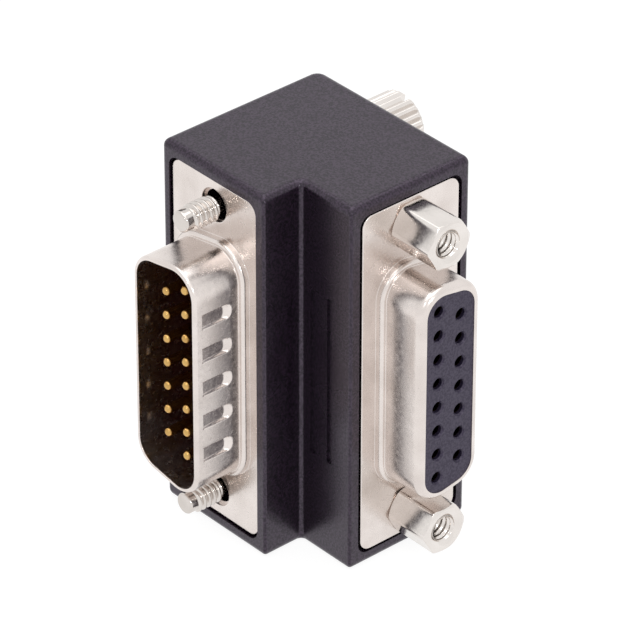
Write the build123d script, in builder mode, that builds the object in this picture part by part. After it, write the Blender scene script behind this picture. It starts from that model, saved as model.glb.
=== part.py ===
"""Right-angle D-sub adapter: a 15-way plug joined to a 15-way socket.

Millimetres, +Z up. The origin is on the base, under the crossing of the two
connectors' mid planes. The plug faces -Y and the socket faces +X.
"""

import os
from math import cos, radians, sin, tan

from build123d import *

# Contact grid
PITCH = 2.77
ROW_HALF = 1.42
PIN_R = 0.5
CONTACT_WIDE = 1.5
CONTACT_BORE_R = 0.55
LINK = 0.6
LINK_BEND = 0.4

# D shells: the plug's inner wall carries the grid, the socket slides inside it
D_SLOPE = radians(10)
D_END_ROOM = 2.93
D_SIDE_ROOM = 2.76
D_CORNER_R = 2.6
MATE_GAP_LONG = 0.295
MATE_GAP_WIDE = 0.23
SOCKET_CORNER_R = 3.0
SHEET = 0.45
REAR_SHEET = 0.4
STEP_OUT = 0.55
STEP_UP = 0.88
STEP_TOP = 0.15
WALL_FOOT = 0.2

# Flanges and their screw holes
PLATE = 0.5
SCREW_FROM_D = 4.035
FLANGE_FROM_SCREW = 2.91
FLANGE_FROM_D = 2.095
FLANGE_CORNER_R = 1.3
PLUG_HOLE_R = 1.65
SOCKET_HOLE_R = 1.6

# Housing: an L seen from above, with a rim round each flange
PLUG_RIM = 12.64
SOCKET_RIM = 14.84
PLUG_GAP = 0.205
SOCKET_GAP = 0.345
PLUG_RIM_WIDE = 1.14
PLUG_RIM_OUTSIDE = 1.08
SOCKET_RIM_WIDE = 1.155
END_GAP = 0.2
RIM_END = 1.38
REAR_CORNER_R = 1.3
OUTER_CORNER_R = 0.6
INNER_CORNER_R = 0.3
NOTCH_R = 0.45
TOP_EDGE_R = 0.8

# Two long grooves in the notch wall of the socket arm
WALL_GROOVE_FROM_NOTCH = 1.69
WALL_GROOVE_STEP = 2.44
WALL_GROOVE_BROAD = 0.7
WALL_GROOVE_DEEP = 0.25
WALL_GROOVE_FROM_ENDS = 11.45

# Plug, measured outward from its rim or from its own parts
PLUG_SUNK = 0.25
PLUG_PROUD = 6.51
PLUG_EDGE_R = 0.3
PLUG_FACE_UP = 0.76
PLUG_CUP = 2.24
PLUG_TAIL = 1.0
PIN_BELOW_EDGE = 1.16
PIN_TIP_CUT = 0.2

# Dimples pressed into the plug wall
DIMPLES = 5
DIMPLE_FROM_EDGE = 0.95
DIMPLE_FROM_STEP = 0.87
DIMPLE_TALL = 1.75
DIMPLE_STEP = 3.88
DIMPLE_DEEP = 0.3
DIMPLE_BUMP = 0.2
DIMPLE_CUT = 0.5
DIMPLE_TAPER = 30
DIMPLE_SIDE = 0.2

# Socket
SOCKET_PROUD = 5.88
SOCKET_EDGE_R = 0.8
SOCKET_LIP = 0.85
SOCKET_FACE_BELOW = 0.11
SOCKET_CUP = 2.27
SOCKET_TAIL = 1.0
MOUTH_R = 0.6
MOUTH_DEEP = 0.54
MOUTH_SINK = 0.18
CONTACT_BORE_DEEP = 5.9

# Thumbscrews along Y
THREAD_R = 1.42
THREAD_CUT = 0.35
SCREW_CLOSER = 0.06
SCREW_PROUD = 4.26
THREAD_FROM_RIM = 0.15
SCREW_SHANK_R = 1.1
SHANK_GAP = 0.09
BORE_WIDE_DEEP = 2.0
HEAD_GAP = 0.3
HEAD_LONG = 4.4
HEAD_R = 3.4
HEAD_CHAMFER = 0.4
HEAD_RIBS = 24
RIB_DEEP = 0.3
GROOVE_WIDE = 0.55
SLOT_WIDE = 0.93
SLOT_DEEP = 1.0
SLOT_TURN = 12.4
LOWER_SLOT_TURN = -35

# Jack sockets along X, with nuts behind the flange
HEX_FLATS = 4.95
JACK_LONG = 5.6
JACK_FACE_IN = 0.14
JACK_FRONT_CUT = 0.3
JACK_BACK_CUT = 0.3
JACK_SEAT_IN = 0.05
JACK_BORE_R = 1.15
JACK_SINK = 0.4
JACK_BORE_DEEP = 4.6
STUD_PAST_NUT = 0.77
NUT_FLATS = 5.5
NUT_THICK = 2.0

# Sizes that follow from those above
PLUG_IN_LONG = 3.5 * PITCH + D_END_ROOM
PLUG_IN_HALF = ROW_HALF + D_SIDE_ROOM
SOCKET_OUT_LONG = PLUG_IN_LONG - MATE_GAP_LONG
SOCKET_OUT_HALF = PLUG_IN_HALF - MATE_GAP_WIDE
SCREW_HALF = PLUG_IN_LONG + SCREW_FROM_D
SCREW_AXIS_HALF = SCREW_HALF - SCREW_CLOSER
FLANGE_LONG = 2 * (SCREW_HALF + FLANGE_FROM_SCREW)
FLANGE_WIDE = 2 * (PLUG_IN_HALF + FLANGE_FROM_D)
HEIGHT = FLANGE_LONG + 2 * (END_GAP + RIM_END)
MID = HEIGHT / 2
PLUG_SIDE = FLANGE_WIDE / 2 + PLUG_GAP + PLUG_RIM_WIDE
OUTSIDE = FLANGE_WIDE / 2 + PLUG_GAP + PLUG_RIM_OUTSIDE
SOCKET_SIDE = FLANGE_WIDE / 2 + SOCKET_GAP + SOCKET_RIM_WIDE
STEP_IN = STEP_OUT - SHEET

PLUG_FLANGE = PLUG_RIM - PLUG_SUNK
PLUG_STEP = PLUG_FLANGE + STEP_UP
PLUG_EDGE = PLUG_FLANGE + PLUG_PROUD
PLUG_FACE = PLUG_FLANGE + PLUG_FACE_UP
PLUG_PLATE_BACK = PLUG_FLANGE - PLATE
PLUG_REAR_BACK = PLUG_PLATE_BACK - PLATE
PLUG_CUP_END = PLUG_REAR_BACK - PLUG_CUP
PLUG_BACK = PLUG_CUP_END - PLUG_TAIL
PIN_TIP = PLUG_EDGE - PIN_BELOW_EDGE
DIMPLE_FRONT = PLUG_EDGE - DIMPLE_FROM_EDGE
DIMPLE_BACK = PLUG_STEP + DIMPLE_FROM_STEP

SOCKET_FLANGE = SOCKET_RIM
SOCKET_STEP = SOCKET_FLANGE + STEP_UP
SOCKET_EDGE = SOCKET_FLANGE + SOCKET_PROUD
SOCKET_FACE = SOCKET_EDGE - SOCKET_FACE_BELOW
SOCKET_PLATE_BACK = SOCKET_FLANGE - PLATE
SOCKET_REAR_BACK = SOCKET_PLATE_BACK - PLATE
SOCKET_CUP_END = SOCKET_REAR_BACK - SOCKET_CUP
SOCKET_BACK = SOCKET_CUP_END - SOCKET_TAIL
CONTACT_FRONT = SOCKET_FACE - MOUTH_DEEP

SCREW_TIP = PLUG_RIM + SCREW_PROUD
SCREW_THREAD_END = PLUG_RIM - THREAD_FROM_RIM
BORE_R = SCREW_SHANK_R + SHANK_GAP
BORE_WIDE_END = PLUG_REAR_BACK - BORE_WIDE_DEEP
HEAD_START = SOCKET_SIDE + HEAD_GAP
HEAD_END = HEAD_START + HEAD_LONG
JACK_END = SOCKET_FLANGE + JACK_LONG
NUT_BACK = SOCKET_REAR_BACK - NUT_THICK
STUD_END = NUT_BACK - STUD_PAST_NUT


def d_outline(plane, half, long, radius, grow):
    """A D outline, wider toward the plane's +x, grown outward by grow."""
    half_width = half + grow
    corner_r = radius + grow
    rise = corner_r * (tan(D_SLOPE) + 1 / cos(D_SLOPE) - 1)
    wide = long + grow + rise
    narrow = wide - 2 * half_width * tan(D_SLOPE)
    with BuildSketch(plane) as outline:
        with BuildLine():
            Polyline(
                (half_width, wide),
                (-half_width, narrow),
                (-half_width, -narrow),
                (half_width, -wide),
                close=True,
            )
        make_face()
        fillet(outline.vertices(), corner_r)
    return outline.sketch


def plug_plane(distance):
    """Plane across the plug, at a distance outward along -Y."""
    return Plane(origin=(0, -distance, MID), x_dir=(1, 0, 0), z_dir=(0, -1, 0))


def socket_plane(distance):
    """Plane across the socket, at a distance outward along +X."""
    return Plane(origin=(distance, 0, MID), x_dir=(0, -1, 0), z_dir=(1, 0, 0))


def plug_d(distance, grow):
    """The plug's D, grown from the inner face of its wall."""
    return d_outline(plug_plane(distance), PLUG_IN_HALF, PLUG_IN_LONG, D_CORNER_R, grow)


def socket_d(distance, grow):
    """The socket's D, grown from the outer face of its wall."""
    place = socket_plane(distance)
    return d_outline(place, SOCKET_OUT_HALF, SOCKET_OUT_LONG, SOCKET_CORNER_R, grow)


def dimple_outline(side, place, wall, inset):
    """Outline of one dimple on the plug wall, with cut corners toward the flange."""
    face = Plane(origin=(side * wall, 0, MID), x_dir=(0, -1, 0), z_dir=(-side, 0, 0))
    front = DIMPLE_FRONT - inset
    back = DIMPLE_BACK + inset
    half = DIMPLE_TALL / 2 - inset
    with BuildSketch(face) as outline:
        with BuildLine():
            Polyline(
                (front, place - half),
                (front, place + half),
                (back + DIMPLE_CUT, place + half),
                (back, place + half - DIMPLE_CUT),
                (back, place - half + DIMPLE_CUT),
                (back + DIMPLE_CUT, place - half),
                close=True,
            )
        make_face()
    return outline.sketch


def link_outline(side, height):
    """One bent link: side is +1 for the row of eight and -1 for the row of seven."""
    pin_x = side * ROW_HALF
    contact_y = -side * ROW_HALF
    half = LINK / 2
    inner = LINK_BEND
    outer = LINK_BEND + 2 * LINK * (1 - sin(radians(45)))
    with BuildSketch(Plane.XY.offset(height - half)) as outline:
        with BuildLine():
            Polyline(
                (pin_x - half, -PLUG_BACK),
                (pin_x - half, contact_y + half - outer),
                (pin_x - half + outer, contact_y + half),
                (SOCKET_BACK, contact_y + half),
                (SOCKET_BACK, contact_y - half),
                (pin_x + half + inner, contact_y - half),
                (pin_x + half, contact_y - half - inner),
                (pin_x + half, -PLUG_BACK),
                close=True,
            )
        make_face()
    return outline.sketch


def contact_places():
    """Number, side of the row and height of each of the 15 contacts."""
    places = []
    for index in range(8):
        places.append((index + 1, 1, MID + (3.5 - index) * PITCH))
    for index in range(7):
        places.append((index + 9, -1, MID + (3 - index) * PITCH))
    return places


PLACES = contact_places()
PLUG_SPOTS = [(side * ROW_HALF, height - MID) for number, side, height in PLACES]
SOCKET_SPOTS = [(side * ROW_HALF, MID - height) for number, side, height in PLACES]


# Room that the links take up inside the housing
with BuildPart() as link_room:
    for number, side, height in PLACES:
        extrude(link_outline(side, height), amount=LINK)


# Housing: one moulding round everything behind the flanges
with BuildPart() as housing:
    with BuildSketch():
        with BuildLine():
            Polyline(
                (-OUTSIDE, -PLUG_RIM),
                (PLUG_SIDE, -PLUG_RIM),
                (PLUG_SIDE, -SOCKET_SIDE),
                (SOCKET_RIM, -SOCKET_SIDE),
                (SOCKET_RIM, SOCKET_SIDE),
                (-OUTSIDE, SOCKET_SIDE),
                close=True,
            )
        make_face()
    extrude(amount=HEIGHT)
    for corner, radius in (
        ((-OUTSIDE, SOCKET_SIDE, MID), REAR_CORNER_R),
        ((-OUTSIDE, -PLUG_RIM, MID), OUTER_CORNER_R),
        ((SOCKET_RIM, SOCKET_SIDE, MID), OUTER_CORNER_R),
        ((PLUG_SIDE, -PLUG_RIM, MID), INNER_CORNER_R),
        ((SOCKET_RIM, -SOCKET_SIDE, MID), INNER_CORNER_R),
        ((PLUG_SIDE, -SOCKET_SIDE, MID), NOTCH_R),
    ):
        uprights = housing.edges().filter_by(Axis.Z)
        fillet(uprights.sort_by_distance(corner)[0], radius)
    levels = housing.edges().group_by(Axis.Z)
    fillet(levels[0] + levels[-1], TOP_EDGE_R)

    # Long grooves in the notch wall
    first_groove = PLUG_SIDE + WALL_GROOVE_FROM_NOTCH
    groove_long = HEIGHT - 2 * WALL_GROOVE_FROM_ENDS
    with BuildSketch(Plane.XZ.offset(SOCKET_SIDE)):
        with Locations((first_groove, MID), (first_groove + WALL_GROOVE_STEP, MID)):
            SlotOverall(groove_long, WALL_GROOVE_BROAD, rotation=90)
    extrude(amount=-WALL_GROOVE_DEEP, mode=Mode.SUBTRACT)

    # Recess of the plug: flanges, rear cup and the back of the insulator
    plug_recess_wide = FLANGE_WIDE + 2 * PLUG_GAP
    recess_long = FLANGE_LONG + 2 * END_GAP
    with BuildSketch(plug_plane(PLUG_REAR_BACK)):
        RectangleRounded(plug_recess_wide, recess_long, FLANGE_CORNER_R)
    extrude(amount=PLUG_RIM - PLUG_REAR_BACK, mode=Mode.SUBTRACT)
    extrude(plug_d(PLUG_CUP_END, REAR_SHEET), amount=PLUG_CUP, mode=Mode.SUBTRACT)
    extrude(plug_d(PLUG_BACK, 0), amount=PLUG_TAIL, mode=Mode.SUBTRACT)

    # Recess of the socket
    socket_recess_wide = FLANGE_WIDE + 2 * SOCKET_GAP
    with BuildSketch(socket_plane(SOCKET_REAR_BACK)):
        RectangleRounded(socket_recess_wide, recess_long, FLANGE_CORNER_R)
    extrude(amount=SOCKET_RIM - SOCKET_REAR_BACK, mode=Mode.SUBTRACT)
    cup_out = socket_d(SOCKET_CUP_END, REAR_SHEET - SHEET)
    extrude(cup_out, amount=SOCKET_CUP, mode=Mode.SUBTRACT)
    extrude(socket_d(SOCKET_BACK, -SHEET), amount=SOCKET_TAIL, mode=Mode.SUBTRACT)
    add(link_room.part, mode=Mode.SUBTRACT)

    # Stepped bores of the thumbscrews, through the whole depth
    with BuildSketch(plug_plane(BORE_WIDE_END)):
        with GridLocations(0, 2 * SCREW_HALF, 1, 2):
            Circle(PLUG_HOLE_R)
    extrude(amount=BORE_WIDE_DEEP, mode=Mode.SUBTRACT)
    with BuildSketch(plug_plane(-SOCKET_SIDE)):
        with GridLocations(0, 2 * SCREW_AXIS_HALF, 1, 2):
            Circle(BORE_R)
    extrude(amount=SOCKET_SIDE + BORE_WIDE_END, mode=Mode.SUBTRACT)

    # Seats of the jack sockets' nuts and studs
    with BuildSketch(socket_plane(NUT_BACK)):
        with GridLocations(0, 2 * SCREW_HALF, 1, 2):
            RegularPolygon(NUT_FLATS / 2, 6, major_radius=False)
    extrude(amount=NUT_THICK, mode=Mode.SUBTRACT)
    with BuildSketch(socket_plane(STUD_END)):
        with GridLocations(0, 2 * SCREW_HALF, 1, 2):
            Circle(THREAD_R)
    extrude(amount=STUD_PAST_NUT, mode=Mode.SUBTRACT)
housing.part.label = "housing"


def near_outline(piece, axis, place, outline, low, high):
    """Edges of a piece at a place on an axis, low to high away from an outline."""
    level = piece.edges().filter_by_position(axis, place - 0.01, place + 0.01)
    return [edge for edge in level if low <= edge.distance_to(outline) <= high]


# Plug shell, front: flange, raised step and D wall with pressed dimples
plug_step_deep = PLUG_STEP - SHEET - PLUG_PLATE_BACK
with BuildPart() as male_front_shell:
    with BuildSketch(plug_plane(PLUG_PLATE_BACK)):
        RectangleRounded(FLANGE_WIDE, FLANGE_LONG, FLANGE_CORNER_R)
    extrude(amount=PLATE)
    extrude(plug_d(PLUG_FLANGE, SHEET + STEP_OUT), amount=STEP_UP)
    extrude(plug_d(PLUG_STEP, SHEET), amount=PLUG_EDGE - PLUG_STEP)
    fillet(male_front_shell.faces().sort_by(Axis.Y)[0].edges(), PLUG_EDGE_R)
    wall_line = plug_d(PLUG_STEP, SHEET)
    foot = near_outline(male_front_shell, Axis.Y, -PLUG_STEP, wall_line, 0, 0.01)
    chamfer(foot, WALL_FOOT)
    far_out = STEP_OUT - 0.05
    top = near_outline(male_front_shell, Axis.Y, -PLUG_STEP, wall_line, far_out, 2 * STEP_OUT)
    chamfer(top, STEP_TOP)
    with BuildSketch(plug_plane(PLUG_PLATE_BACK)):
        with GridLocations(0, 2 * SCREW_HALF, 1, 2):
            Circle(PLUG_HOLE_R)
    extrude(amount=PLATE, mode=Mode.SUBTRACT)
    extrude(plug_d(PLUG_PLATE_BACK, 0), amount=PLUG_EDGE, mode=Mode.SUBTRACT)
    step_room = plug_d(PLUG_PLATE_BACK, SHEET + STEP_IN)
    extrude(step_room, amount=plug_step_deep, mode=Mode.SUBTRACT)
    for side in (1, -1):
        for index in range(DIMPLES):
            place = (index - (DIMPLES - 1) / 2) * DIMPLE_STEP
            dent = dimple_outline(side, place, PLUG_IN_HALF + SHEET, 0)
            extrude(dent, amount=DIMPLE_DEEP, taper=DIMPLE_TAPER, mode=Mode.SUBTRACT)
            bump = dimple_outline(side, place, PLUG_IN_HALF, DIMPLE_SIDE)
            extrude(bump, amount=DIMPLE_BUMP, taper=DIMPLE_TAPER)
male_front_shell.part.label = "male_front_shell"


# Plug shell, rear: flange and the cup that holds the insulator
with BuildPart() as male_rear_shell:
    with BuildSketch(plug_plane(PLUG_REAR_BACK)):
        RectangleRounded(FLANGE_WIDE, FLANGE_LONG, FLANGE_CORNER_R)
        with GridLocations(0, 2 * SCREW_HALF, 1, 2):
            Circle(PLUG_HOLE_R, mode=Mode.SUBTRACT)
    extrude(amount=PLATE)
    extrude(plug_d(PLUG_CUP_END, REAR_SHEET), amount=PLUG_CUP)
    extrude(plug_d(PLUG_CUP_END, 0), amount=PLUG_RIM, mode=Mode.SUBTRACT)
male_rear_shell.part.label = "male_rear_shell"


# Plug insulator: held by its lip in the raised step, with 15 pin holes
with BuildPart() as male_insulator:
    extrude(plug_d(PLUG_BACK, 0), amount=PLUG_FACE - PLUG_BACK)
    extrude(plug_d(PLUG_PLATE_BACK, SHEET + STEP_IN), amount=plug_step_deep)
    with BuildSketch(plug_plane(PLUG_BACK)):
        with Locations(PLUG_SPOTS):
            Circle(PIN_R)
    extrude(amount=PLUG_FACE, mode=Mode.SUBTRACT)
male_insulator.part.label = "male_insulator"


# Socket shell, front: flange, raised step, D wall and rounded lip
socket_step_deep = SOCKET_STEP - SHEET - SOCKET_PLATE_BACK
with BuildPart() as female_front_shell:
    with BuildSketch(socket_plane(SOCKET_PLATE_BACK)):
        RectangleRounded(FLANGE_WIDE, FLANGE_LONG, FLANGE_CORNER_R)
    extrude(amount=PLATE)
    extrude(socket_d(SOCKET_FLANGE, STEP_OUT), amount=STEP_UP)
    extrude(socket_d(SOCKET_STEP, 0), amount=SOCKET_EDGE - SOCKET_STEP)
    fillet(female_front_shell.faces().sort_by(Axis.X)[-1].edges(), SOCKET_EDGE_R)
    wall_line = socket_d(SOCKET_STEP, 0)
    foot = near_outline(female_front_shell, Axis.X, SOCKET_STEP, wall_line, 0, 0.01)
    chamfer(foot, WALL_FOOT)
    top = near_outline(female_front_shell, Axis.X, SOCKET_STEP, wall_line, far_out, 2 * STEP_OUT)
    chamfer(top, STEP_TOP)
    with BuildSketch(socket_plane(SOCKET_PLATE_BACK)):
        with GridLocations(0, 2 * SCREW_HALF, 1, 2):
            Circle(SOCKET_HOLE_R)
    extrude(amount=PLATE, mode=Mode.SUBTRACT)
    inner_long = SOCKET_EDGE - SHEET - SOCKET_PLATE_BACK
    extrude(socket_d(SOCKET_PLATE_BACK, -SHEET), amount=inner_long, mode=Mode.SUBTRACT)
    extrude(socket_d(SOCKET_PLATE_BACK, -SOCKET_LIP), amount=SOCKET_EDGE, mode=Mode.SUBTRACT)
    step_room = socket_d(SOCKET_PLATE_BACK, STEP_IN)
    extrude(step_room, amount=socket_step_deep, mode=Mode.SUBTRACT)
female_front_shell.part.label = "female_front_shell"


# Socket shell, rear
with BuildPart() as female_rear_shell:
    with BuildSketch(socket_plane(SOCKET_REAR_BACK)):
        RectangleRounded(FLANGE_WIDE, FLANGE_LONG, FLANGE_CORNER_R)
        with GridLocations(0, 2 * SCREW_HALF, 1, 2):
            Circle(SOCKET_HOLE_R, mode=Mode.SUBTRACT)
    extrude(amount=PLATE)
    cup_out = socket_d(SOCKET_CUP_END, REAR_SHEET - SHEET)
    extrude(cup_out, amount=SOCKET_CUP)
    extrude(socket_d(SOCKET_CUP_END, -SHEET), amount=SOCKET_RIM, mode=Mode.SUBTRACT)
female_rear_shell.part.label = "female_rear_shell"


# Socket insulator: 15 round mouths with sunk edges, square cavities behind them
with BuildPart() as female_insulator:
    extrude(socket_d(SOCKET_BACK, -SHEET), amount=SOCKET_EDGE - SHEET - SOCKET_BACK)
    extrude(socket_d(SOCKET_BACK, -SOCKET_LIP), amount=SOCKET_FACE - SOCKET_BACK)
    extrude(socket_d(SOCKET_PLATE_BACK, STEP_IN), amount=socket_step_deep)
    with BuildSketch(socket_plane(SOCKET_BACK)):
        with Locations(SOCKET_SPOTS):
            Rectangle(CONTACT_WIDE, CONTACT_WIDE)
    extrude(amount=CONTACT_FRONT - SOCKET_BACK, mode=Mode.SUBTRACT)
    with BuildSketch(socket_plane(CONTACT_FRONT)):
        with Locations(SOCKET_SPOTS):
            Circle(MOUTH_R)
    extrude(amount=MOUTH_DEEP, mode=Mode.SUBTRACT)
    level = female_insulator.edges().filter_by_position(
        Axis.X, SOCKET_FACE - 0.01, SOCKET_FACE + 0.01
    )
    mouths = level.filter_by(GeomType.CIRCLE)
    chamfer([edge for edge in mouths if abs(edge.radius - MOUTH_R) < 0.01], MOUTH_SINK)
female_insulator.part.label = "female_insulator"


def make_pin(side, height, label):
    """One round pin with a tapered tip."""
    with BuildPart() as pin:
        with BuildSketch(plug_plane(PLUG_BACK)):
            with Locations((side * ROW_HALF, height - MID)):
                Circle(PIN_R)
        extrude(amount=PIN_TIP - PLUG_BACK)
        chamfer(pin.faces().sort_by(Axis.Y)[0].edges(), PIN_TIP_CUT)
    pin.part.label = label
    return pin.part


def make_contact(side, height, label):
    """One socket contact: a square stamped body with a round bore and a solid tail."""
    with BuildPart() as contact:
        with BuildSketch(socket_plane(SOCKET_BACK)):
            with Locations((side * ROW_HALF, MID - height)):
                Rectangle(CONTACT_WIDE, CONTACT_WIDE)
        extrude(amount=CONTACT_FRONT - SOCKET_BACK)
        with BuildSketch(socket_plane(CONTACT_FRONT)):
            with Locations((side * ROW_HALF, MID - height)):
                Circle(CONTACT_BORE_R)
        extrude(amount=-CONTACT_BORE_DEEP, mode=Mode.SUBTRACT)
    contact.part.label = label
    return contact.part


def make_link(side, height, label):
    """One square link, bent through a right angle."""
    with BuildPart() as link:
        extrude(link_outline(side, height), amount=LINK)
    link.part.label = label
    return link.part


def make_thumbscrew(offset, turn, label):
    """One captive thumbscrew: thread, thin shank, ribbed and slotted head."""
    middle = MID + offset
    with BuildPart() as screw:
        with BuildSketch(Plane(origin=(0, 0, middle), x_dir=(0, -1, 0), z_dir=(1, 0, 0))):
            with BuildLine():
                Polyline(
                    (SCREW_TIP, 0),
                    (SCREW_TIP, THREAD_R - THREAD_CUT),
                    (SCREW_TIP - THREAD_CUT, THREAD_R),
                    (SCREW_THREAD_END, THREAD_R),
                    (SCREW_THREAD_END, SCREW_SHANK_R),
                    (-HEAD_START, SCREW_SHANK_R),
                    (-HEAD_START, HEAD_R),
                    (-HEAD_END + HEAD_CHAMFER, HEAD_R),
                    (-HEAD_END, HEAD_R - HEAD_CHAMFER),
                    (-HEAD_END, 0),
                    close=True,
                )
            make_face()
        revolve(axis=Axis((0, 0, middle), (0, -1, 0)))
        foot_plane = Plane(origin=(0, HEAD_START, middle), x_dir=(1, 0, 0), z_dir=(0, 1, 0))
        with BuildSketch(foot_plane):
            with PolarLocations(HEAD_R, HEAD_RIBS):
                Polygon(
                    (-RIB_DEEP, 0),
                    (RIB_DEEP, -GROOVE_WIDE),
                    (RIB_DEEP, GROOVE_WIDE),
                    align=None,
                )
        extrude(amount=HEAD_LONG, mode=Mode.SUBTRACT)
        slot_start = HEAD_END - SLOT_DEEP
        slot_plane = Plane(origin=(0, slot_start, middle), x_dir=(1, 0, 0), z_dir=(0, 1, 0))
        with BuildSketch(slot_plane):
            Rectangle(SLOT_WIDE, 3 * HEAD_R, rotation=turn)
        extrude(amount=SLOT_DEEP, mode=Mode.SUBTRACT)
    screw.part.label = label
    return screw.part


def make_jack(offset, label):
    """One hexagonal jack socket with its stud."""
    middle = MID + offset
    flats = Plane(origin=(SOCKET_FLANGE, 0, middle), x_dir=(0, 1, 0), z_dir=(1, 0, 0))
    with BuildPart() as jack:
        with BuildSketch(flats):
            RegularPolygon(HEX_FLATS / 2, 6, major_radius=False)
        extrude(amount=JACK_LONG)
        with BuildSketch(Plane(origin=(0, 0, middle), x_dir=(1, 0, 0), z_dir=(0, -1, 0))):
            with BuildLine():
                Polyline(
                    (SOCKET_FLANGE, 0),
                    (SOCKET_FLANGE, HEX_FLATS / 2 - JACK_SEAT_IN),
                    (SOCKET_FLANGE + JACK_BACK_CUT, HEX_FLATS * 0.6),
                    (JACK_END - JACK_FRONT_CUT, HEX_FLATS * 0.6),
                    (JACK_END, HEX_FLATS / 2 - JACK_FACE_IN),
                    (JACK_END, 0),
                    close=True,
                )
            make_face()
        revolve(axis=Axis((0, 0, middle), (1, 0, 0)), mode=Mode.INTERSECT)
        with BuildSketch(flats):
            Circle(THREAD_R)
        extrude(amount=STUD_END - SOCKET_FLANGE)
        with BuildSketch(flats.offset(JACK_LONG)):
            Circle(JACK_BORE_R)
        extrude(amount=-JACK_BORE_DEEP, mode=Mode.SUBTRACT)
        level = jack.edges().filter_by_position(Axis.X, JACK_END - 0.01, JACK_END + 0.01)
        mouth = level.filter_by(GeomType.CIRCLE)
        chamfer([edge for edge in mouth if abs(edge.radius - JACK_BORE_R) < 0.01], JACK_SINK)
    jack.part.label = label
    return jack.part


def make_nut(offset, label):
    """One nut behind the socket's flange."""
    with BuildPart() as nut:
        with BuildSketch(socket_plane(NUT_BACK)):
            with Locations((0, -offset)):
                RegularPolygon(NUT_FLATS / 2, 6, major_radius=False)
                Circle(THREAD_R, mode=Mode.SUBTRACT)
        extrude(amount=NUT_THICK)
    nut.part.label = label
    return nut.part


parts = [
    housing.part,
    male_front_shell.part,
    male_rear_shell.part,
    male_insulator.part,
    female_front_shell.part,
    female_rear_shell.part,
    female_insulator.part,
]
for number, side, height in PLACES:
    parts.append(make_pin(side, height, f"male_pin_{number:02d}"))
    parts.append(make_contact(side, height, f"female_contact_{number:02d}"))
    parts.append(make_link(side, height, f"link_{number:02d}"))
parts.append(make_thumbscrew(SCREW_AXIS_HALF, SLOT_TURN, "upper_thumbscrew"))
parts.append(make_thumbscrew(-SCREW_AXIS_HALF, LOWER_SLOT_TURN, "lower_thumbscrew"))
parts.append(make_jack(SCREW_HALF, "upper_jack_socket"))
parts.append(make_jack(-SCREW_HALF, "lower_jack_socket"))
parts.append(make_nut(SCREW_HALF, "upper_jack_nut"))
parts.append(make_nut(-SCREW_HALF, "lower_jack_nut"))

os.makedirs("parts", exist_ok=True)
for piece in parts:
    export_step(piece, f"parts/{piece.label}.step")
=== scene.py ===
import math

import bmesh
import bpy
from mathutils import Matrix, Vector


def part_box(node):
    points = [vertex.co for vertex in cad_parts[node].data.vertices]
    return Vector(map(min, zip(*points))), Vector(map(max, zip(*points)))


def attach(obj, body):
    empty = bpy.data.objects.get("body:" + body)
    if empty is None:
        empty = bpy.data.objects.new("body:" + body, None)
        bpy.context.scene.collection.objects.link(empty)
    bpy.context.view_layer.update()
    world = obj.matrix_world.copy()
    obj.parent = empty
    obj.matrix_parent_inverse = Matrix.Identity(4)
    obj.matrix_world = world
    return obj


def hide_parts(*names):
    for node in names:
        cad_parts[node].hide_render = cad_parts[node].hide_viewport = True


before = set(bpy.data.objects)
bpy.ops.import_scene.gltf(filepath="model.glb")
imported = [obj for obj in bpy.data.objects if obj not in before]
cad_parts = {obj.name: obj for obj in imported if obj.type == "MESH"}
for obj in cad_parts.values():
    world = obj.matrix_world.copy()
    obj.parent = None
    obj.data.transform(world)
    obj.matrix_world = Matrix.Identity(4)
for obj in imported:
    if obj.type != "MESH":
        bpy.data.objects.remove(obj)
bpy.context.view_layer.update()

MM = 0.001


def span(node):
    """Lowest and highest corner of a CAD node, in millimetres."""
    low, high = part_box(node)
    return low / MM, high / MM


# Small lengths of the mesh, in millimetres. A ring held near an edge keeps the shading
# of the flat beside it even
HOLD = 0.05
FACE_HOLD = 0.04
FOOT_HOLD = 0.06
RIB_OVER = 0.01
MERGE_DIST = 0.0002
FOLDED_DIST = 0.00001

# Sizes in millimetres, taken from the frame
PLUG_LOW, PLUG_HIGH = span("male_front_shell")
SOCKET_LOW, SOCKET_HIGH = span("female_front_shell")
SCREW_LOW, SCREW_HIGH = span("upper_thumbscrew")
JACK_LOW, JACK_HIGH = span("upper_jack_socket")
MID = (PLUG_LOW.z + PLUG_HIGH.z) / 2
PLATE = 0.5
FLANGE_WIDE = PLUG_HIGH.x - PLUG_LOW.x
FLANGE_LONG = PLUG_HIGH.z - PLUG_LOW.z
PLUG_FLANGE = PLATE - PLUG_HIGH.y
PLUG_EDGE = -PLUG_LOW.y
SOCKET_FLANGE = SOCKET_LOW.x + PLATE
SOCKET_EDGE = SOCKET_HIGH.x
SCREW_AXIS = (SCREW_LOW.z + SCREW_HIGH.z) / 2 - MID
SCREW_TIP = -SCREW_LOW.y
HEAD_END = SCREW_HIGH.y
HEAD_R = (SCREW_HIGH.x - SCREW_LOW.x) / 2 + RIB_OVER
JACK_AXIS = (JACK_LOW.z + JACK_HIGH.z) / 2 - MID
JACK_END = JACK_HIGH.x
HEX_HALF = (JACK_HIGH.z - JACK_LOW.z) / 2

# Shapes of the drawn sheet
FLANGE_R = 1.3
FLANGE_EDGE_R = 0.12
HOLE_R = 1.65
PLUG_HOLE_R = 1.8
HOLE_EDGE_R = 0.08
PLUG_HOLE_SHIFT = 0.2
SHEET = 0.45
STEP_OUT = 0.55
STEP_UP = 0.88
STEP_FOOT_R = 0.06
STEP_TOP_R = 0.42
WALL_FOOT_R = 0.08
PLUG_EDGE_R = 0.36
PLUG_LIP_R = 0.1
SOCKET_EDGE_R = 0.8
SOCKET_LIP = 0.85

# The D outlines: half width, half length, corner radius. Their short sides slope by degrees
PLUG_D = (4.18, 12.625, 2.6)
SOCKET_D = (3.95, 12.33, 3.0)
SLOPE = 10
FLAT_HALF = 10.5

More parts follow.
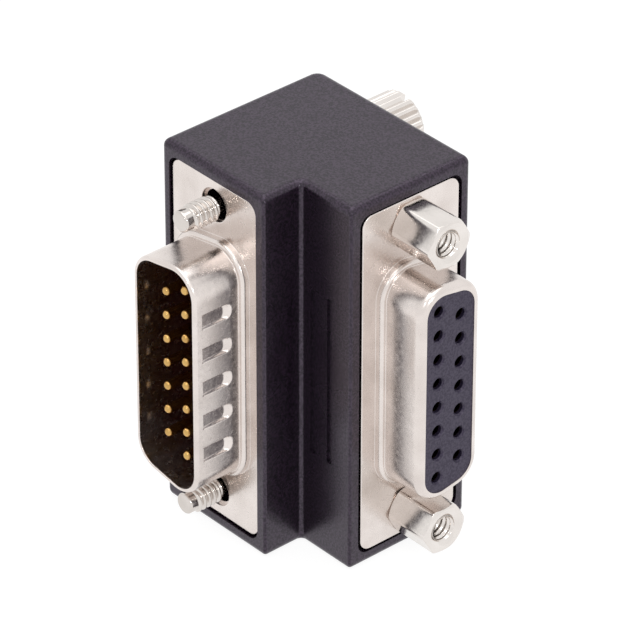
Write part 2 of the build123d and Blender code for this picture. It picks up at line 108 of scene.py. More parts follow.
# Dimples in the plug wall: deepest at the back, shallower toward the front
DIMPLES = 5
DIMPLE_REACH = 0.2
DIMPLE_FRONT = PLUG_EDGE - 0.95
DIMPLE_BACK = PLUG_FLANGE + 1.75
DIMPLE_HALF = 0.88
DIMPLE_STEP = 3.88
DIMPLE_CENTRES = [(k - (DIMPLES - 1) / 2) * DIMPLE_STEP for k in range(DIMPLES)]
DIMPLE_DEEP = 0.34
DIMPLE_FRONT_SHARE = 0.45  # depth at the front as a share of the full depth
DIMPLE_BUMP = 0.14  # height inside the wall
DIMPLE_RAMP = 0.9
DIMPLE_SIDE = 0.24
DIMPLE_FACE = 0.12
DIMPLE_CORNER = 0.8
BUMP_SOFT = 0.7  # run of a bump's rise inside the wall

# Contacts
PITCH = 2.77
ROW_HALF = 1.42
WIDE_ROW = 8
NARROW_ROW = 7
PIN_R = 0.5
PIN_TIP_R = 0.48

# Unified 4-40 thread
THREAD_PITCH = 0.635
THREAD_R = 1.38
THREAD_ROOT_R = 1.04

# One turn of the thread, from crest to crest: share of the pitch, share of the height
THREAD_SHAPE = (
    (0.0, 1.0), (0.08, 0.98), (0.14, 0.9), (0.2, 0.76), (0.4, 0.16), (0.45, 0.04), (0.5, 0.0),
    (0.55, 0.04), (0.6, 0.16), (0.8, 0.76), (0.86, 0.9), (0.92, 0.98), (1.0, 1.0),
)

# Camera, fitted to the 30 contacts of the photograph. The place is in millimetres
CAMERA_AZIMUTH = math.radians(48.57)
CAMERA_ELEVATION = math.radians(33.02)
CAMERA_ROLL = math.radians(0.12)
CAMERA_PLACE = (328.67, -288.7, 282.5 + MID)
FOCAL_PIXELS = 5203
PICTURE_PIXELS = 640
SENSOR = 36


def make_camera():
    """Sets the scene's camera at the photograph's angle."""
    data = bpy.data.cameras.new("camera")
    camera = bpy.data.objects.new("camera", data)
    bpy.context.scene.collection.objects.link(camera)
    forward = Vector((
        -math.sin(CAMERA_AZIMUTH) * math.cos(CAMERA_ELEVATION),
        math.cos(CAMERA_AZIMUTH) * math.cos(CAMERA_ELEVATION),
        -math.sin(CAMERA_ELEVATION),
    ))
    right = forward.cross(Vector((0, 0, 1))).normalized()
    up = right.cross(forward)
    rolled_right = right * math.cos(CAMERA_ROLL) + up * math.sin(CAMERA_ROLL)
    rolled_up = up * math.cos(CAMERA_ROLL) - right * math.sin(CAMERA_ROLL)
    matrix = camera.matrix_world.copy()
    for row in range(3):
        matrix[row][0] = rolled_right[row]
        matrix[row][1] = rolled_up[row]
        matrix[row][2] = -forward[row]
        matrix[row][3] = CAMERA_PLACE[row] * MM
    camera.matrix_world = matrix
    data.sensor_width = SENSOR
    data.lens = FOCAL_PIXELS * SENSOR / PICTURE_PIXELS
    data.clip_start = 0.01
    data.clip_end = 20
    bpy.context.scene.camera = camera


make_camera()


# Mesh helpers
def plug_point(u, v, d):
    """A point of the plug: u along +X, v up from mid height, d outward."""
    return (u * MM, -d * MM, (MID + v) * MM)


def socket_point(u, v, d):
    """A point of the socket: u along -Y, v up from mid height, d outward."""
    return (d * MM, -u * MM, (MID + v) * MM)


def arc(cx, cy, r, start, end, count):
    """Points on an arc, angles in degrees."""
    points = []
    for k in range(count + 1):
        a = math.radians(start + (end - start) * k / count)
        points.append((cx + r * math.cos(a), cy + r * math.sin(a)))
    return points


def line(start, end, count):
    """Points on a straight line between two points, both included."""
    points = []
    for k in range(count + 1):
        t = k / count
        points.append((start[0] + (end[0] - start[0]) * t, start[1] + (end[1] - start[1]) * t))
    return points


def stops(low, high, step):
    """Evenly spaced values from low to high, both included."""
    count = max(1, math.ceil((high - low) / step))
    return [low + (high - low) * k / count for k in range(count + 1)]


class Builder:
    """Collects the points and faces of one piece."""

    def __init__(self, place):
        self.place = place
        self.verts = []
        self.faces = []
        self.inside = range(0)

    def ring(self, points):
        """Adds points, and returns their indices."""
        start = len(self.verts)
        self.verts += [self.place(*p) for p in points]
        return list(range(start, len(self.verts)))

    def bridge(self, a, b, closed=True):
        """Quads between two rings of the same length."""
        count = len(a)
        for k in range(count if closed else count - 1):
            j = (k + 1) % count
            self.faces.append((a[k], a[j], b[j], b[k]))

    def skirt(self, spots, profile, shift=None):
        """Sweeps a profile of (outward, depth) round spots. Returns its first and last ring."""
        rings = []
        for out, depth in profile:
            points = []
            for x, z, nx, nz in spots:
                far = out + (shift(z, nx, out, depth) if shift else 0.0)
                points.append((x + nx * far, z + nz * far, depth))
            rings.append(self.ring(points))
        for a, b in zip(rings, rings[1:]):
            self.bridge(a, b)
        return rings[0], rings[-1]

    def fill(self, loops):
        """Fills the flat area between closed rings of points."""
        bm = bmesh.new()
        made = {}
        edges = []
        for ring in loops:
            points = [bm.verts.new(self.verts[i]) for i in ring]
            for vert, i in zip(points, ring):
                made[vert] = i
            for k in range(len(points)):
                edges.append(bm.edges.new((points[k], points[(k + 1) % len(points)])))
        bmesh.ops.triangle_fill(bm, edges=edges, use_beauty=True)
        for face in bm.faces:
            self.faces.append(tuple(made[v] for v in face.verts))
        bm.free()

    def lathe(self, cu, cv, profile, steps=48, outline=None):
        """Turns a profile of (radius, depth) round an axis. A zero radius closes it."""
        last = None
        for r, depth in profile:
            points = []
            for k in range(steps):
                a = math.tau * k / steps
                far = outline(a, r) if outline else r
                points.append((cu + far * math.cos(a), cv + far * math.sin(a), depth))
            now = self.ring(points)
            if last:
                self.bridge(last, now)
            last = now

    def thread(self, cu, cv, low, high, crest, root, fade_low=0.4, fade_high=0.4, steps=48):
        """A right-hand helical thread surface between two depths."""
        turns = (high - low) / THREAD_PITCH + 2
        count = int(turns * steps)
        last = None
        for i in range(count + 1):
            a = math.tau * i / steps
            points = []
            for along, tall in THREAD_SHAPE:
                depth = low - THREAD_PITCH + THREAD_PITCH * (i / steps + along)
                held = min(max(depth, low), high)
                fade = min(1.0, (held - low) / fade_low, (high - held) / fade_high)
                r = root + (crest - root) * tall * max(0.0, fade)
                points.append((cu + r * math.cos(a), cv + r * math.sin(a), held))
            now = self.ring(points)
            if last:
                self.bridge(last, now, closed=False)
            last = now

    def make(self, name, node=None, *, sharp, body="adapter"):
        """The finished object, normals outward. Edges over sharp degrees stay sharp."""
        mesh = bpy.data.meshes.new(name)
        mesh.from_pydata(self.verts, [], self.faces)
        for index in self.inside:
            mesh.polygons[index].material_index = 1
        bm = bmesh.new()
        bm.from_mesh(mesh)
        bmesh.ops.remove_doubles(bm, verts=bm.verts, dist=MERGE_DIST * MM)
        bmesh.ops.dissolve_degenerate(bm, edges=bm.edges, dist=FOLDED_DIST * MM)
        bmesh.ops.recalc_face_normals(bm, faces=bm.faces)
        for face in bm.faces:
            face.smooth = True
        bm.to_mesh(mesh)
        bm.free()
        mesh.set_sharp_from_angle(angle=math.radians(sharp))
        piece = bpy.data.objects.new(name, mesh)
        bpy.context.scene.collection.objects.link(piece)
        if node:
            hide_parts(*([node] if isinstance(node, str) else node))
        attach(piece, body)
        return piece


def d_path(size, heights, corner_steps=22, side_step=0.6):
    """Points and outward normals round a D, with points at these heights on its two flats."""
    half, long, r = size
    wide_c = (half - r, long - r)
    narrow_c = (-half + r, long - r - (2 * half - 2 * r) * math.tan(math.radians(SLOPE)))
    lean = 90 + SLOPE
    spots = []

    def flat(x, top, values, normal):
        for v in values:
            if abs(v) < top - 1e-6:
                spots.append((x, v, normal, 0.0))

    def corner(c, start, end):
        for k in range(corner_steps + 1):
            a = math.radians(start + (end - start) * k / corner_steps)
            spots.append((c[0] + r * math.cos(a), c[1] + r * math.sin(a), math.cos(a), math.sin(a)))

    def side(a, b, angle):
        n = (math.cos(math.radians(angle)), math.sin(math.radians(angle)))
        start = (a[0] + r * n[0], a[1] + r * n[1])
        end = (b[0] + r * n[0], b[1] + r * n[1])
        count = max(2, round(math.dist(start, end) / side_step))
        for x, z in line(start, end, count)[1:-1]:
            spots.append((x, z, n[0], n[1]))

    flat(half, wide_c[1], sorted(heights), 1.0)
    corner(wide_c, 0, lean)
    side(wide_c, narrow_c, lean)
    corner(narrow_c, lean, 180)
    flat(-half, narrow_c[1], sorted(heights, reverse=True), -1.0)
    corner((narrow_c[0], -narrow_c[1]), 180, 360 - lean)
    side((narrow_c[0], -narrow_c[1]), (wide_c[0], -wide_c[1]), 360 - lean)
    corner((wide_c[0], -wide_c[1]), 360 - lean, 360)
    return spots


def rounded_loop(half_u, half_v, r, steps=10):
    """Points round a rounded rectangle, with their outward normals."""
    spots = []
    for cx, cy, start in (
        (half_u - r, half_v - r, 0),
        (-half_u + r, half_v - r, 90),
        (-half_u + r, -half_v + r, 180),
        (half_u - r, -half_v + r, 270),
    ):
        for k in range(steps + 1):
            a = math.radians(start + 90 * k / steps)
            spots.append((cx + r * math.cos(a), cy + r * math.sin(a), math.cos(a), math.sin(a)))
    return spots


def circle_loop(cu, cv, r, steps=48):
    """Points round a hole, with normals that point into the plate."""
    spots = []
    for k in range(steps):
        a = math.tau * k / steps
        spots.append((cu + r * math.cos(a), cv + r * math.sin(a), math.cos(a), math.sin(a)))
    return spots


def step_profile(base, wall):
    """The raised step round a D wall, from the flange at base up to the wall's foot."""
    step = wall + STEP_OUT
    top = base + STEP_UP
    profile = [(step + STEP_FOOT_R + FOOT_HOLD, base)]
    profile += arc(step + STEP_FOOT_R, base + STEP_FOOT_R, STEP_FOOT_R, 270, 180, 6)
    profile += arc(step - STEP_TOP_R, top - STEP_TOP_R, STEP_TOP_R, 0, 90, 7)
    profile += arc(wall + WALL_FOOT_R, top + WALL_FOOT_R, WALL_FOOT_R, 270, 180, 8)
    return profile


def flange_plate(build, front, axis, hole_r, inner_ring):
    """A shell's flange: rounded outer edge, two holes, and the ring where the D begins."""
    edge = FLANGE_EDGE_R
    rim = HOLE_EDGE_R
    outer = rounded_loop(FLANGE_WIDE / 2, FLANGE_LONG / 2, FLANGE_R)
    profile = [(0, front - PLATE), (0, front - edge)]
    profile += arc(-edge, front - edge, edge, 0, 90, 6)[1:]
    profile.append((-edge - HOLD, front))
    loops = [build.skirt(outer, profile)[1], inner_ring]
    for side in (1, -1):
        profile = [(0, front - PLATE), (0, front - rim)]
        profile += arc(rim, front - rim, rim, 180, 90, 4)[1:]
        profile.append((rim + HOLD, front))
        loops.append(build.skirt(circle_loop(0, side * axis, hole_r), profile)[1])
    build.fill(loops)


# Plug shell
def soft(t):
    """Smooth rise from 0 to 1."""
    t = min(1.0, max(0.0, t))
    return t * t * (3 - 2 * t)


def dimple_depth(v, depth, inside):
    """How deep the wall is pressed at a height and a depth, from 0 to 1."""
    for centre in DIMPLE_CENTRES:
        t = abs(v - centre)
        if t >= DIMPLE_HALF:
            continue
        if inside:
            side = soft((DIMPLE_HALF - t) / BUMP_SOFT)
            front = soft((DIMPLE_FRONT - depth) / BUMP_SOFT)
            return side * front * soft((depth - DIMPLE_BACK) / BUMP_SOFT)
        back = DIMPLE_BACK
        past = t - (DIMPLE_HALF - DIMPLE_CORNER)
        if past > 0:
            back += DIMPLE_CORNER - math.sqrt(max(0.0, DIMPLE_CORNER**2 - past**2))
        ramp = soft((depth - back) / DIMPLE_RAMP)
        side = soft((DIMPLE_HALF - t) / DIMPLE_SIDE)
        face = soft((DIMPLE_FRONT - depth) / DIMPLE_FACE)
        fall = (DIMPLE_FRONT - depth) / (DIMPLE_FRONT - DIMPLE_BACK - DIMPLE_RAMP)
        floor = DIMPLE_FRONT_SHARE + (1 - DIMPLE_FRONT_SHARE) * min(1.0, max(0.0, fall))
        return min(ramp, side, face) * floor
    return 0.0


def dimple_stops():
    """Heights on a flat: close together over each dimple's edges."""
    values = set(round(v, 3) for v in stops(-FLAT_HALF, FLAT_HALF, 0.3))
    edge = stops(DIMPLE_HALF - DIMPLE_SIDE - 0.03, DIMPLE_HALF + 0.03, 0.042)
    floor = [0.15, 0.3, 0.45]
    for centre in DIMPLE_CENTRES:
        for near in edge + floor:
            values.add(round(centre + near, 3))
            values.add(round(centre - near, 3))
        values.add(round(centre, 3))
    ordered = sorted(values)
    kept = [ordered[0]]
    for v in ordered[1:]:
        if v - kept[-1] > 0.02:
            kept.append(v)
    return kept


def press(v, nx, out, depth):
    """Shift of the plug wall: pressed in outside, bulged inside."""
    on_flat = abs(nx) > 0.9999
    if not on_flat or not DIMPLE_BACK - DIMPLE_REACH <= depth <= DIMPLE_FRONT + DIMPLE_REACH:
        return 0.0
    inside = out < SHEET / 2
    return -dimple_depth(v, depth, inside) * (DIMPLE_BUMP if inside else DIMPLE_DEEP)


def plug_shell():
    """The plug's shell. Its inner wall has a second material: the nickel painted dark red as
    painted shade.
    """
    build = Builder(plug_point)
    spots = d_path(PLUG_D, dimple_stops())
    edge = PLUG_EDGE
    back = DIMPLE_BACK
    front = DIMPLE_FRONT
    profile = step_profile(PLUG_FLANGE, SHEET)
    # Rings stand closest on the dimples' ramp and at their front end
    wall = stops(back - 0.08, back + DIMPLE_RAMP + 0.2, 0.09)
    wall += stops(back + DIMPLE_RAMP + 0.4, front - 0.3, 0.25)
    wall += [front - 0.2, front - 0.14, front - DIMPLE_FACE, front - 0.05, front, front + 0.05]
    profile += [(SHEET, d) for d in wall]
    profile += [(SHEET, edge - PLUG_EDGE_R - HOLD)]
    profile += arc(SHEET - PLUG_EDGE_R, edge - PLUG_EDGE_R, PLUG_EDGE_R, 0, 90, 10)
    profile += arc(PLUG_LIP_R, edge - PLUG_LIP_R, PLUG_LIP_R, 90, 180, 4)
    inner = [edge - 0.2, front + 0.05, front, front - 0.05, front - DIMPLE_FACE]
    inner += sorted(stops(back, front - 0.3, 0.2), reverse=True)
    inner += [PLUG_FLANGE + 0.3]
    profile += [(0.0, d) for d in inner]
    outside = len(profile) - len(inner)
    first, _ = build.skirt(spots, profile, press)
    # The inner wall's faces take the second material, the painted shade
    build.inside = range((outside - 1) * len(spots), (len(profile) - 1) * len(spots))
    flange_plate(build, PLUG_FLANGE, SCREW_AXIS + PLUG_HOLE_SHIFT, PLUG_HOLE_R, first)
    return build.make("plug_shell", "male_front_shell", sharp=38)


# Socket shell
def socket_shell():
    """The socket's shell, whose lip turns inward."""
    build = Builder(socket_point)
    spots = d_path(SOCKET_D, stops(-FLAT_HALF, FLAT_HALF, 1.0))
    edge = SOCKET_EDGE
    profile = step_profile(SOCKET_FLANGE, 0.0)
    profile += [(0.0, edge - SOCKET_EDGE_R - 0.3)]
    profile += arc(-SOCKET_EDGE_R, edge - SOCKET_EDGE_R, SOCKET_EDGE_R, 0, 90, 14)
    profile += [(-SOCKET_LIP, edge - 0.02), (-SOCKET_LIP, edge - SHEET)]
    first, _ = build.skirt(spots, profile)
    flange_plate(build, SOCKET_FLANGE, JACK_AXIS, HOLE_R, first)
    return build.make("socket_shell", "female_front_shell", sharp=38)


# Pins of the plug
def contact_spots():
    """Places of the 15 contacts: u on the wide side first, and height from the middle."""
    wide = [(ROW_HALF, ((WIDE_ROW - 1) / 2 - k) * PITCH) for k in range(WIDE_ROW)]
    narrow = [(-ROW_HALF, ((NARROW_ROW - 1) / 2 - k) * PITCH) for k in range(NARROW_ROW)]
    return wide + narrow


def plug_pins():
    """All 15 pins as one piece."""
    build = Builder(plug_point)
    back = -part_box("male_pin_01")[1].y / MM
    tip = -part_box("male_pin_01")[0].y / MM
    for u, v in contact_spots():
        profile = [(0.0, back), (PIN_R, back)]
        profile += [(PIN_R, tip - PIN_TIP_R)]
        profile += arc(PIN_R - PIN_TIP_R, tip - PIN_TIP_R, PIN_TIP_R, 0, 90, 9)
        profile += [(0.0, tip)]
        build.lathe(u, v, profile, steps=32)
    names = [f"male_pin_{k:02d}" for k in range(1, WIDE_ROW + NARROW_ROW + 1)]
    return build.make("plug_pins", names, sharp=60)


# Thumbscrews
HEAD_LONG = 4.4
HEAD_CHAMFER = 0.4
HEAD_FOOT_IN = 0.25
HEAD_FOOT_LONG = 0.2
HEAD_RIBS = 24
RIB_DEEP = 0.34
RIB_POWER = 0.6
SHANK_R = 1.1
NECK_R = 0.98
NECK_IN_THREAD = 0.4
TIP_R = 0.88
TIP_IN = 0.15
# The dog is the plain end of the screw
DOG_R = 1.12
DOG_LONG = 0.95
DOG_IN_THREAD = 0.3
DOG_ROUND = 0.25
DOG_ROUND_TURN = 75
UPPER_SLOT_TURN = 12.4
LOWER_SLOT_TURN = -35
SLOT_WIDE = 0.93
SLOT_DEEP = 1.0
HEAD_SHARP = 35


def cut_slot(piece, centre, turn):
    """Cuts the screwdriver slot across the head's end."""
    mesh = bpy.data.meshes.new("slot_cutter")
    bm = bmesh.new()
    bmesh.ops.create_cube(bm, size=1.0)
    for vert in bm.verts:
        x = vert.co.x * SLOT_WIDE
        z = vert.co.z * 4 * HEAD_R
        y = vert.co.y * 2 * SLOT_DEEP
        a = math.radians(turn)
        vert.co = Vector((
            (x * math.cos(a) + z * math.sin(a)) * MM,
            (HEAD_END + y) * MM,
            (MID + centre - x * math.sin(a) + z * math.cos(a)) * MM,
        ))
    bm.to_mesh(mesh)
    bm.free()
    cutter = bpy.data.objects.new("slot_cutter", mesh)
    bpy.context.scene.collection.objects.link(cutter)
    cut = piece.modifiers.new("slot", "BOOLEAN")
    cut.operation = "DIFFERENCE"
    cut.object = cutter
    cut.solver = "EXACT"
    bpy.context.view_layer.update()
    depsgraph = bpy.context.evaluated_depsgraph_get()
    done = bpy.data.meshes.new_from_object(piece.evaluated_get(depsgraph))
    piece.modifiers.clear()
    piece.data = done
    bpy.data.objects.remove(cutter)


def rib_outline(angle, r):
    """Radius of the ribbed head at an angle: rounded ribs, cut by the end bevels."""
    wave = 0.5 - 0.5 * math.cos(HEAD_RIBS * angle)
    ribbed = HEAD_R - RIB_DEEP * (1 - wave**RIB_POWER)
    return min(r, ribbed)


def thumbscrew(name, node, centre, turn):
    """A ribbed head, and a rod of neck, thread and plain end. Depth grows toward the tip."""
    head = Builder(plug_point)
    end = -HEAD_END
    foot = end + HEAD_LONG
    bevel = end + HEAD_CHAMFER
    profile = [(0.0, foot), (SHANK_R, foot)]
    profile += [(HEAD_R - HEAD_FOOT_IN, foot), (HEAD_R, foot - HEAD_FOOT_LONG)]
    profile += [(HEAD_R, d) for d in reversed(stops(bevel + 0.1, foot - 0.3, 0.6))]
    profile += line((HEAD_R, bevel), (HEAD_R - HEAD_CHAMFER, end), 8)
    profile += [(HEAD_R - HEAD_CHAMFER - HOLD, end), (0.0, end)]
    head.lathe(0, centre, profile, steps=HEAD_RIBS * 12, outline=rib_outline)
    piece = head.make(name, node, body=node, sharp=HEAD_SHARP)
    cut_slot(piece, centre, turn)
    piece.data.set_sharp_from_angle(angle=math.radians(HEAD_SHARP))

    rod = Builder(plug_point)
    neck_end = PLUG_FLANGE + NECK_IN_THREAD
    rod.lathe(0, centre, [(0.0, foot), (NECK_R, foot), (NECK_R, neck_end), (0.0, neck_end)])
    tip = SCREW_TIP - TIP_IN
    dog = tip - DOG_LONG
    dog_foot = dog - DOG_IN_THREAD
    profile = [(0.0, dog_foot), (DOG_R, dog_foot), (DOG_R, dog + 0.2)]
    profile += [(DOG_R, tip - DOG_ROUND - HOLD), (DOG_R, tip - DOG_ROUND)]
    steps = 8
    for k in range(1, steps + 1):
        a = math.radians(DOG_ROUND_TURN * k / steps)
        profile.append((TIP_R + (DOG_R - TIP_R) * math.cos(a), tip - DOG_ROUND * (1 - math.sin(a))))
    profile += [(TIP_R, tip), (TIP_R - FACE_HOLD, tip), (0.0, tip)]
    rod.lathe(0, centre, profile)
    rod.thread(0, centre, PLUG_FLANGE, dog + 0.1, THREAD_R, THREAD_ROOT_R)
    rod_piece = rod.make(name + "_rod", body=node, sharp=50)
    return piece, rod_piece


# Jack sockets
JACK_FACE_R = 2.34
JACK_CORNER_R = HEX_HALF / math.cos(math.radians(30))
JACK_CORNER_IN = 0.1
JACK_CORNER_BLEND = 0.04
JACK_CUT = 0.3
JACK_BORE_R = 1.13
JACK_BORE_DEEP = 4.6
JACK_SINK_R = 1.95
JACK_SINK_FOOT_R = 1.43
JACK_SINK_DEEP = 0.36


def hex_outline(angle, r):
    """Radius of a hexagon with two flats level, with slightly rounded corners."""
    turn = (angle + math.radians(30)) % math.radians(60) - math.radians(30)
    flat = math.radians(30) - abs(turn)
    far = HEX_HALF / math.cos(flat)
    corner = JACK_CORNER_R - JACK_CORNER_IN
    blend = JACK_CORNER_BLEND
    far = -blend * math.log(math.exp(-far / blend) + math.exp(-corner / blend))
    return min(r, far)


def jack_socket(name, node, centre):
    """A hexagonal body with a countersunk and threaded bore."""
    build = Builder(socket_point)
    base = SOCKET_FLANGE
    end = JACK_END
    back_cut = base + JACK_CUT
    front_cut = end - JACK_CUT
    profile = [(0.0, base)]
    profile += line((JACK_FACE_R, base), (JACK_CORNER_R, back_cut), 14)
    profile += [(JACK_CORNER_R, d) for d in stops(back_cut + 0.2, front_cut - 0.2, 0.8)]
    profile += line((JACK_CORNER_R, front_cut), (JACK_FACE_R, end), 14)
    profile += [(JACK_FACE_R - FACE_HOLD, end)]
    profile += [(JACK_SINK_R + HOLD, end), (JACK_SINK_R, end - 0.01)]
    profile += [(JACK_SINK_FOOT_R, end - JACK_SINK_DEEP)]
    build.lathe(0, centre, profile, steps=120, outline=hex_outline)
    mouth = end - JACK_SINK_DEEP
    build.lathe(0, centre, [(THREAD_R, mouth + 0.02), (THREAD_R + 0.03, mouth)], steps=120)
    bottom = end - JACK_BORE_DEEP
    build.thread(0, centre, bottom, end - 0.2, JACK_BORE_R, THREAD_R, fade_low=0.3, fade_high=0.35)
    build.lathe(0, centre, [(THREAD_R, bottom), (0.0, bottom)], steps=48)
    return build.make(name, node, sharp=40)


pieces = {
    "plug_shell": plug_shell(),
    "socket_shell": socket_shell(),
    "plug_pins": plug_pins(),
}
screws = [
    *thumbscrew("upper_screw", "upper_thumbscrew", SCREW_AXIS, UPPER_SLOT_TURN),
    *thumbscrew("lower_screw", "lower_thumbscrew", -SCREW_AXIS, LOWER_SLOT_TURN),
]
jacks = [
    jack_socket("upper_jack", "upper_jack_socket", JACK_AXIS),
    jack_socket("lower_jack", "lower_jack_socket", -JACK_AXIS),
]


# Materials. Noise in repeats per metre, bump depths in metres
PLASTIC_GRAIN = 4500
PLASTIC_CLOUDS = 160
PLASTIC_BUMP = 0.00001
METAL_CLOUDS = 300
NICKEL_MOTTLE = 2200
CONTACT_MOTTLE = 3000
NICKEL_BUMP = 0.000003
CONTACT_BUMP = 0.000002


def new_material(name):
    """A material, its node tree and its shader."""
    mat = bpy.data.materials.new(name)
    mat.use_nodes = True
    return mat, mat.node_tree, mat.node_tree.nodes["Principled BSDF"]


def add_noise(tree, scale, detail=3.0):
    """Noise over object space. The scale is in repeats per metre."""
    place = tree.nodes.new("ShaderNodeTexCoord")
    noise = tree.nodes.new("ShaderNodeTexNoise")
    noise.inputs["Scale"].default_value = scale
    noise.inputs["Detail"].default_value = detail
    tree.links.new(place.outputs["Object"], noise.inputs["Vector"])
    return noise.outputs["Fac"]


def add_range(tree, value, low, high, start=0.3, end=0.7):
    """Maps a value between start and end to low and high."""
    remap = tree.nodes.new("ShaderNodeMapRange")
    remap.inputs["From Min"].default_value = start
    remap.inputs["From Max"].default_value = end
    remap.inputs["To Min"].default_value = low
    remap.inputs["To Max"].default_value = high
    tree.links.new(value, remap.inputs["Value"])
    return remap.outputs["Result"]


def add_mix(tree, value, dark, light, start=0.3, end=0.7):
    """Colour between dark and light by a value."""
    mix = tree.nodes.new("ShaderNodeMix")
    mix.data_type = "RGBA"
    mix.inputs["A"].default_value = (*dark, 1)
    mix.inputs["B"].default_value = (*light, 1)
    tree.links.new(add_range(tree, value, 0, 1, start, end), mix.inputs["Factor"])
    return mix.outputs["Result"]


def add_bump(tree, bsdf, value, depth):
    """Bump from a value of 0 to 1, this deep."""
    bump = tree.nodes.new("ShaderNodeBump")
    bump.inputs["Strength"].default_value = 1.0
    bump.inputs["Distance"].default_value = depth
    tree.links.new(value, bump.inputs["Height"])
    tree.links.new(bump.outputs["Normal"], bsdf.inputs["Normal"])


def plastic(name, dark, light, rough, grain, ior, tint, level=0.5):
    """Near-black satin plastic, whose brightness comes from what it reflects."""
    mat, tree, bsdf = new_material(name)
    fine = add_noise(tree, grain)
    slow = add_noise(tree, PLASTIC_CLOUDS, detail=2.0)
    colour = add_mix(tree, fine, dark, light, 0.42, 0.58)
    gloss = add_range(tree, slow, rough - 0.04, rough + 0.04)
    specular = add_range(tree, fine, 0.8 * level, 1.2 * level, 0.4, 0.6)
    tree.links.new(colour, bsdf.inputs["Base Color"])
    tree.links.new(gloss, bsdf.inputs["Roughness"])
    tree.links.new(specular, bsdf.inputs["Specular IOR Level"])
    bsdf.inputs["IOR"].default_value = ior
    bsdf.inputs["Specular Tint"].default_value = (*tint, 1)
    add_bump(tree, bsdf, fine, PLASTIC_BUMP)
    return mat


def metal(name, dark, light, rough, mottle, depth, tint=(1, 1, 1)):
    """Plated metal: clouds of colour, and a fine mottle in its roughness and bump."""
    mat, tree, bsdf = new_material(name)
    fine = add_noise(tree, mottle)
    slow = add_noise(tree, METAL_CLOUDS, detail=2.0)
    bsdf.inputs["Metallic"].default_value = 1.0
    bsdf.inputs["Specular Tint"].default_value = (*tint, 1)
    tree.links.new(add_mix(tree, slow, dark, light), bsdf.inputs["Base Color"])
    tree.links.new(add_range(tree, fine, rough - 0.04, rough + 0.05), bsdf.inputs["Roughness"])
    add_bump(tree, bsdf, fine, depth)
    return mat


HOUSING = plastic(
    "housing_satin_black", dark=(0.0, 0.0, 0.0), light=(0.013, 0.005, 0.014),
    rough=0.27, grain=PLASTIC_GRAIN, ior=1.62, tint=(0.93, 0.79, 1.0),
)
INSULATOR = plastic(
    "insulator_black", dark=(0.020, 0.015, 0.036), light=(0.034, 0.027, 0.054),
    rough=0.4, grain=PLASTIC_GRAIN, ior=1.52, tint=(0.93, 0.84, 1.0),
)
# Painted shade: the plug's insulator, a darker and weakly reflecting copy of the black insulator
# with red-tinted reflections, for the shade deep in the plug
CAVITY_SHADE = plastic(
    "insulator_painted_shade", dark=(0.009, 0.0009, 0.0008), light=(0.017, 0.0025, 0.002),
    rough=0.5, grain=3000, ior=1.15, tint=(1.0, 0.3, 0.2), level=0.2,
)
SHELL = metal(
    "shell_satin_nickel", dark=(0.70, 0.635, 0.60), light=(0.81, 0.745, 0.71),
    rough=0.24, mottle=NICKEL_MOTTLE, depth=NICKEL_BUMP,
)
# Painted shade: the plug's nickel inner wall, darkened and reddened, with red-tinted reflections,
# for the shade inside the plug
INSIDE_SHADE = metal(
    "shell_inside_painted_shade", dark=(0.09, 0.013, 0.006), light=(0.44, 0.10, 0.05),
    rough=0.34, mottle=700, depth=NICKEL_BUMP, tint=(0.8, 0.35, 0.22),
)
BRIGHT = metal(
    "screw_bright_nickel", dark=(0.74, 0.695, 0.66), light=(0.82, 0.775, 0.74),
    rough=0.17, mottle=NICKEL_MOTTLE, depth=NICKEL_BUMP,
)
# Painted shade: a darker copy of the screws' bright nickel on the rods, for the shade in the
# thread's grooves
THREAD_SHADE = metal(
    "screw_thread_painted_shade", dark=(0.60, 0.555, 0.52), light=(0.72, 0.675, 0.64),
    rough=0.14, mottle=NICKEL_MOTTLE, depth=NICKEL_BUMP,
)
# The pins' gold, darkened below its own colour as painted shade for the dim cavity of the plug
GOLD = metal(
    "contact_gold", dark=(0.52, 0.31, 0.10), light=(0.66, 0.42, 0.15),
    rough=0.2, mottle=CONTACT_MOTTLE, depth=CONTACT_BUMP,
)
# Painted shade: the socket's gold contacts, painted near black for the shade in their holes
CONTACT_SHADE = metal(
    "contact_painted_shade", dark=(0.05, 0.03, 0.01), light=(0.07, 0.04, 0.015),
    rough=0.3, mottle=CONTACT_MOTTLE, depth=CONTACT_BUMP,
)
COPPER = metal(
    "link_copper", dark=(0.60, 0.42, 0.30), light=(0.66, 0.48, 0.36),
    rough=0.3, mottle=CONTACT_MOTTLE, depth=CONTACT_BUMP,
)


def dress(piece, mat):
    """Gives a new piece its material."""
    piece.data.materials.clear()
    piece.data.materials.append(mat)


dress(pieces["plug_shell"], SHELL)
# The plug's inner wall takes the painted-shade copy of the nickel
pieces["plug_shell"].data.materials.append(INSIDE_SHADE)
dress(pieces["socket_shell"], SHELL)
dress(pieces["plug_pins"], GOLD)
for piece in screws + jacks:
    # The rods take the darker, painted-shade copy of the nickel
    dress(piece, THREAD_SHADE if piece.name.endswith("rod") else BRIGHT)

NODE_LOOKS = {
    "housing": HOUSING,
    "male_insulator": CAVITY_SHADE,
    "female_insulator": INSULATOR,
    "male_rear_shell": SHELL,
    "female_rear_shell": SHELL,
    "upper_jack_nut": BRIGHT,
    "lower_jack_nut": BRIGHT,
}
for name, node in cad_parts.items():
    look = NODE_LOOKS.get(name)
    # The socket's contacts take the painted-shade gold
    if name.startswith("female_contact"):
        look = CONTACT_SHADE
    elif name.startswith("link"):
        look = COPPER
    if look:
        node.data.materials.clear()
        node.data.materials.append(look)


# Floor, world and lamps. Lengths in metres, power in watts
FLOOR_HALF = 6.0
FLOOR_GREY = 0.85
FLOOR_GLOW = 1.2
FLOOR_GLOW_SHARE = 0.75
WORLD_LIGHT = 0.5
WORLD_SEEN = 1.0
LAMP_AIM = (0.005, -0.005, MID * MM)


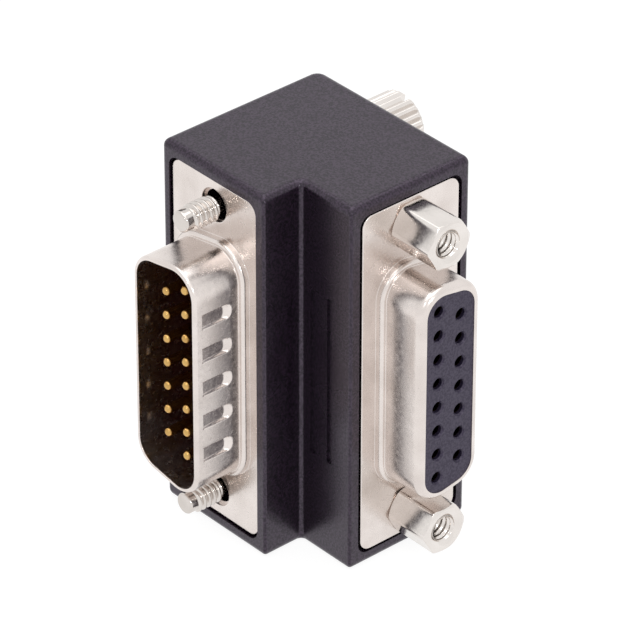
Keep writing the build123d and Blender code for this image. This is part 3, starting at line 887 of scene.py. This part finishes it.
def seen_directly(tree):
    """1 for camera, glossy and transmission rays."""
    light_path = tree.nodes.new("ShaderNodeLightPath")
    first = tree.nodes.new("ShaderNodeMath")
    first.operation = "MAXIMUM"
    tree.links.new(light_path.outputs["Is Camera Ray"], first.inputs[0])
    tree.links.new(light_path.outputs["Is Glossy Ray"], first.inputs[1])
    second = tree.nodes.new("ShaderNodeMath")
    second.operation = "MAXIMUM"
    tree.links.new(first.outputs[0], second.inputs[0])
    tree.links.new(light_path.outputs["Is Transmission Ray"], second.inputs[1])
    return second.outputs[0]


def make_floor():
    """A matt floor that takes shadows, with a share of glow that keeps it white."""
    mesh = bpy.data.meshes.new("floor")
    far = FLOOR_HALF
    corners = [(-far, -far, 0), (far, -far, 0), (far, far, 0), (-far, far, 0)]
    mesh.from_pydata(corners, [], [(0, 1, 2, 3)])
    floor = bpy.data.objects.new("floor", mesh)
    bpy.context.scene.collection.objects.link(floor)
    mat = bpy.data.materials.new("floor_pale")
    mat.use_nodes = True
    tree = mat.node_tree
    tree.nodes.clear()
    out = tree.nodes.new("ShaderNodeOutputMaterial")
    matt = tree.nodes.new("ShaderNodeBsdfDiffuse")
    matt.inputs["Color"].default_value = (FLOOR_GREY, FLOOR_GREY, FLOOR_GREY, 1)
    glow = tree.nodes.new("ShaderNodeEmission")
    glow.inputs["Color"].default_value = (1, 1, 1, 1)
    glow.inputs["Strength"].default_value = FLOOR_GLOW
    share = tree.nodes.new("ShaderNodeMath")
    share.operation = "MULTIPLY"
    share.inputs[1].default_value = FLOOR_GLOW_SHARE
    tree.links.new(seen_directly(tree), share.inputs[0])
    mix = tree.nodes.new("ShaderNodeMixShader")
    tree.links.new(share.outputs[0], mix.inputs[0])
    tree.links.new(matt.outputs[0], mix.inputs[1])
    tree.links.new(glow.outputs[0], mix.inputs[2])
    tree.links.new(mix.outputs[0], out.inputs["Surface"])
    mesh.materials.append(mat)


def make_world():
    """An even white studio, seen brighter than it lights."""
    world = bpy.data.worlds.new("studio")
    bpy.context.scene.world = world
    world.use_nodes = True
    tree = world.node_tree
    back = tree.nodes["Background"]
    back.inputs["Color"].default_value = (1, 1, 1, 1)
    remap = add_range(tree, seen_directly(tree), WORLD_LIGHT, WORLD_SEEN, 0, 1)
    tree.links.new(remap, back.inputs["Strength"])


def add_lamp(name, place, size, power):
    """A soft square lamp that points at the middle of the object."""
    data = bpy.data.lights.new(name, "AREA")
    data.shape = "SQUARE"
    data.size = size
    data.energy = power
    lamp = bpy.data.objects.new(name, data)
    bpy.context.scene.collection.objects.link(lamp)
    lamp.location = Vector(place)
    aim = Vector(LAMP_AIM) - lamp.location
    lamp.rotation_euler = aim.to_track_quat("-Z", "Y").to_euler()


make_floor()
make_world()
add_lamp("top", (0.0, 0.0, 1.2), size=1.4, power=6)
add_lamp("key", (0.8, -0.14, 0.44), size=0.1, power=0.9)
add_lamp("glint", (0.35, -0.65, 0.6), size=0.07, power=0.3)

bpy.context.scene.view_settings.view_transform = "Standard"
